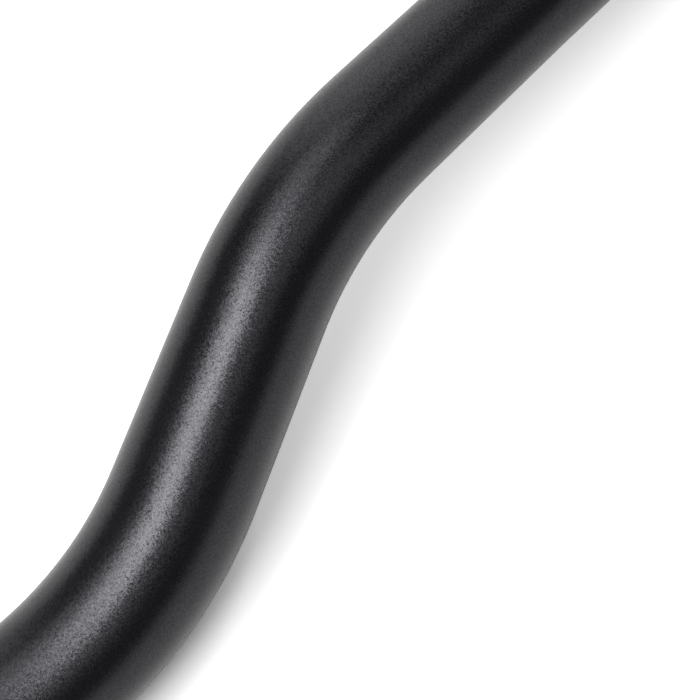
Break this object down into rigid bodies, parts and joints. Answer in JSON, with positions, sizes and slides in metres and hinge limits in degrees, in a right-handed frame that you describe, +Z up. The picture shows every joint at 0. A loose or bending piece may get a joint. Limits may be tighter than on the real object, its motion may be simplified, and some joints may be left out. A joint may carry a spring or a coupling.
{
  "type": "riser handlebar",
  "caption": "Bicycle riser handlebar: one tapered aluminium tube, bent up and back from a straight stem clamp to two straight grips, open at its ends.",
  "frame": {"origin": "middle of the stem clamp's straight, on the tube's axis", "axes": "+X along the clamp towards the rider's left, +Z up with the bar lying front side up on its clamp and both ends, +Y the way the rise leans; rolling the bar about X sets it upright in a stem"},
  "size_m": [0.68, 0.0915, 0.0423],
  "materials": {
    "black_anodised": "fine blasted, matt black anodised"
  },
  "bodies": {
    "root": {"handlebar": "black_anodised"}
  },
  "joints": []
}
